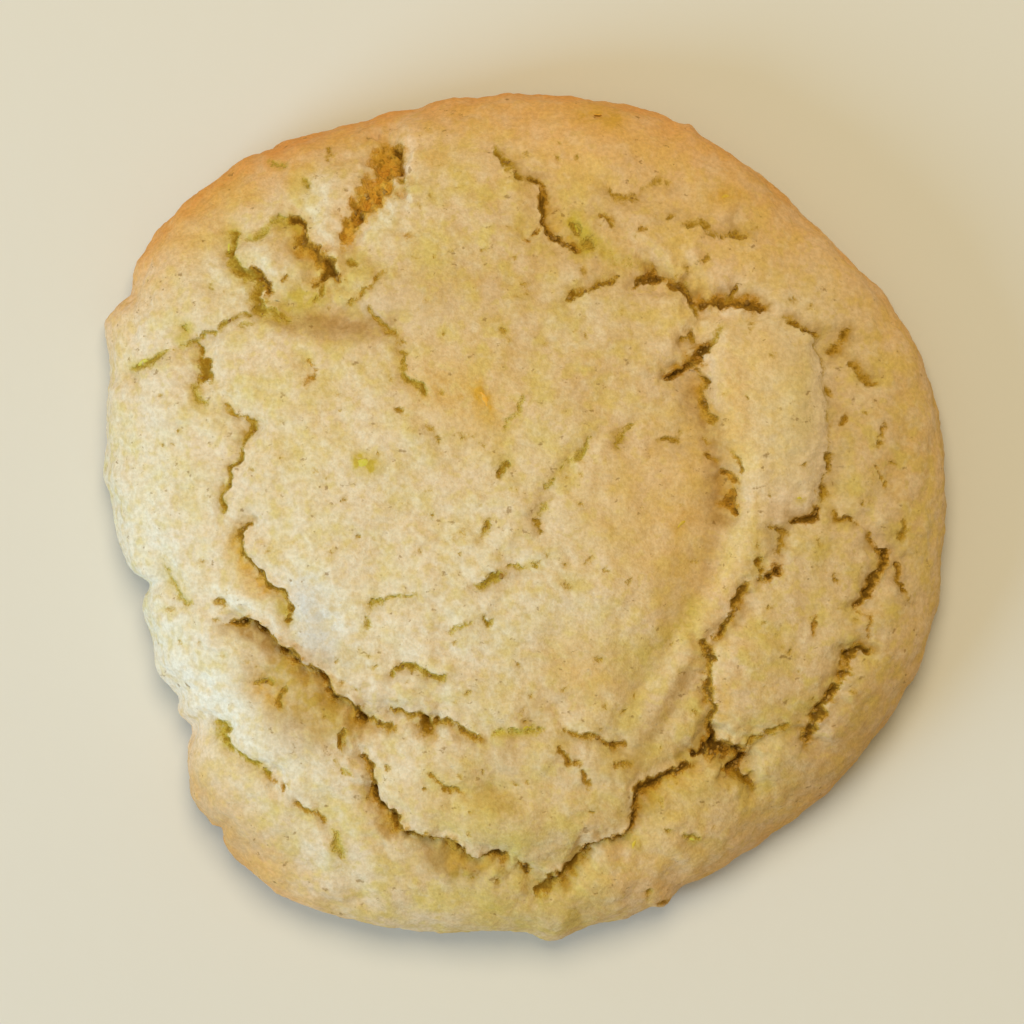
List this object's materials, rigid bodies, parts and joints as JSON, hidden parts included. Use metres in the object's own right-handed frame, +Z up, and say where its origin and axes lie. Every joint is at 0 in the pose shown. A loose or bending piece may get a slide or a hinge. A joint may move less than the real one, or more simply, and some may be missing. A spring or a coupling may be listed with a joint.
{
  "type": "lemon cookie",
  "caption": "Soft round baked cookie, low domed and pale yellow, with a crackled crust, raised plates, an open torn rift and a flat base to rest on.",
  "frame": {"origin": "middle of the cookie's box on the plane of its flat base", "axes": "+Z up out of the crown, +Y towards the top of the picture, +X towards its right"},
  "size_m": [0.0844, 0.0848, 0.0186],
  "materials": {
    "baked_dough": "matt, sandy, pale lemon crust with golden torn crumb in its cracks and a browned base"
  },
  "bodies": {
    "root": {"cookie": "baked_dough"}
  },
  "joints": []
}
